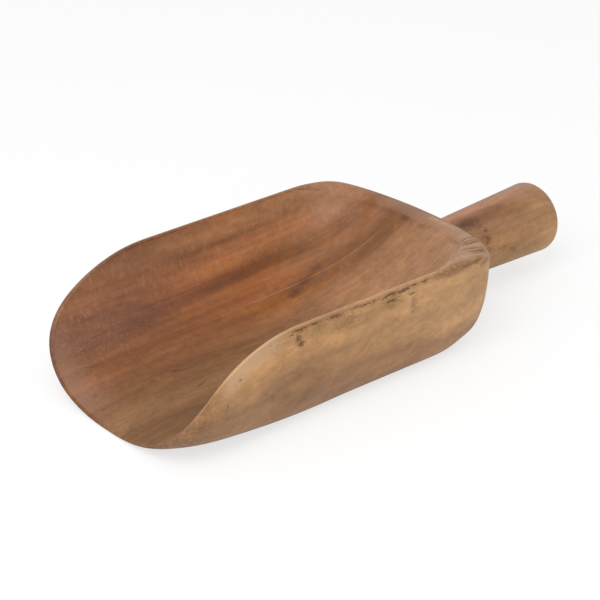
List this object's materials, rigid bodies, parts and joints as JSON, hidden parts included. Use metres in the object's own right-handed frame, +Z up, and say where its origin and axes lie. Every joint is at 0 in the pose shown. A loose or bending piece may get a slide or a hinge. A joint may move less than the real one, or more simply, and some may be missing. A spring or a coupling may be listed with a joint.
{
  "type": "scoop",
  "caption": "Carved wooden scoop for grain or flour: an open trough with a thin swept lip and a turned, flared handle glued into its back.",
  "frame": {"origin": "on the ground, under the middle of the whole scoop's length and width", "axes": "+X from the lip along the handle to its end, +Z up out of the open hollow, +Y to the left of someone looking from the lip to the handle"},
  "size_m": [0.2802, 0.119, 0.057],
  "materials": {
    "bowl_wood": "oiled, satin, with streaky heartwood and pale sapwood",
    "handle_wood": "oiled, satin"
  },
  "bodies": {
    "root": {"bowl": "bowl_wood", "handle": "handle_wood"}
  },
  "joints": []
}
